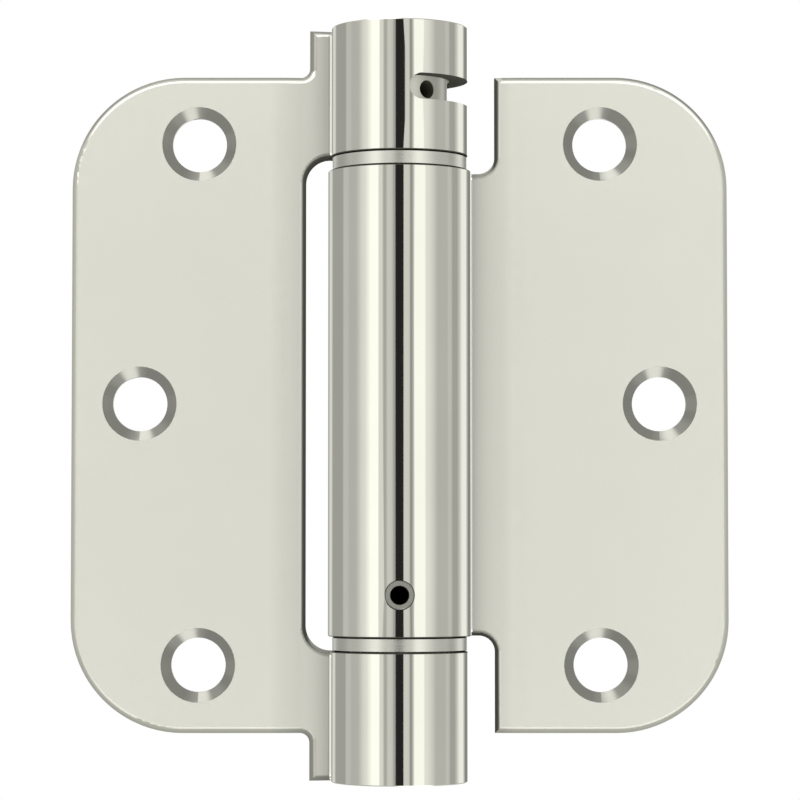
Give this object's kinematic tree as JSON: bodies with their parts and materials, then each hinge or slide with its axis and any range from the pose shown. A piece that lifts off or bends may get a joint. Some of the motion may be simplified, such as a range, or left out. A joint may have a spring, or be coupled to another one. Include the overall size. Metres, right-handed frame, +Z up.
{
  "type": "spring hinge",
  "caption": "Self-closing spring door hinge, laid open: two leaves with countersunk screw holes, a barrel with a torsion spring inside and a slotted top knuckle with a tension collar.",
  "frame": {"origin": "on the hinge axis, at half the leaves' height", "axes": "+Z up along the hinge axis towards the slotted knuckle, +X towards the door leaf, -Y the countersunk front"},
  "size_m": [0.0888, 0.0194, 0.1018],
  "materials": {
    "satin_nickel_plate": "steel sheet, nickel plated: polished barrel, satin leaves",
    "collar_steel": "turned steel, satin",
    "ring_steel": "turned steel, satin nickel",
    "bush_nylon": "nylon",
    "spring_steel": "oil-tempered spring wire",
    "pin_steel": "plain steel"
  },
  "bodies": {
    "frame_side": {"frame_leaf": "satin_nickel_plate", "collar_retaining_ring": "ring_steel", "lower_thrust_ring": "ring_steel", "lower_bush": "bush_nylon", "bottom_cap": "ring_steel"},
    "door_side": {"door_leaf": "satin_nickel_plate", "upper_thrust_ring": "ring_steel", "upper_bush": "bush_nylon", "torsion_spring": "spring_steel", "anchor_plug": "collar_steel", "anchor_pin": "pin_steel", "pivot_pin": "pin_steel"},
    "collar": {"tension_collar": "collar_steel"}
  },
  "joints": [
    {"name": "door_leaf_swing", "type": "hinge", "parent": "frame_side", "child": "door_side", "pos_m": [0, 0, 0], "axis": [0, 0, 1], "range_deg": [-180, 90], "stiffness_Nm_per_rad": 0.37, "deforming": ["torsion_spring"]},
    {"name": "tension_collar_turn", "type": "hinge", "parent": "frame_side", "child": "collar", "pos_m": [0, 0, 0.0419], "axis": [0, 0, 1], "range_deg": [-360, 0], "deforming": ["torsion_spring"]}
  ]
}
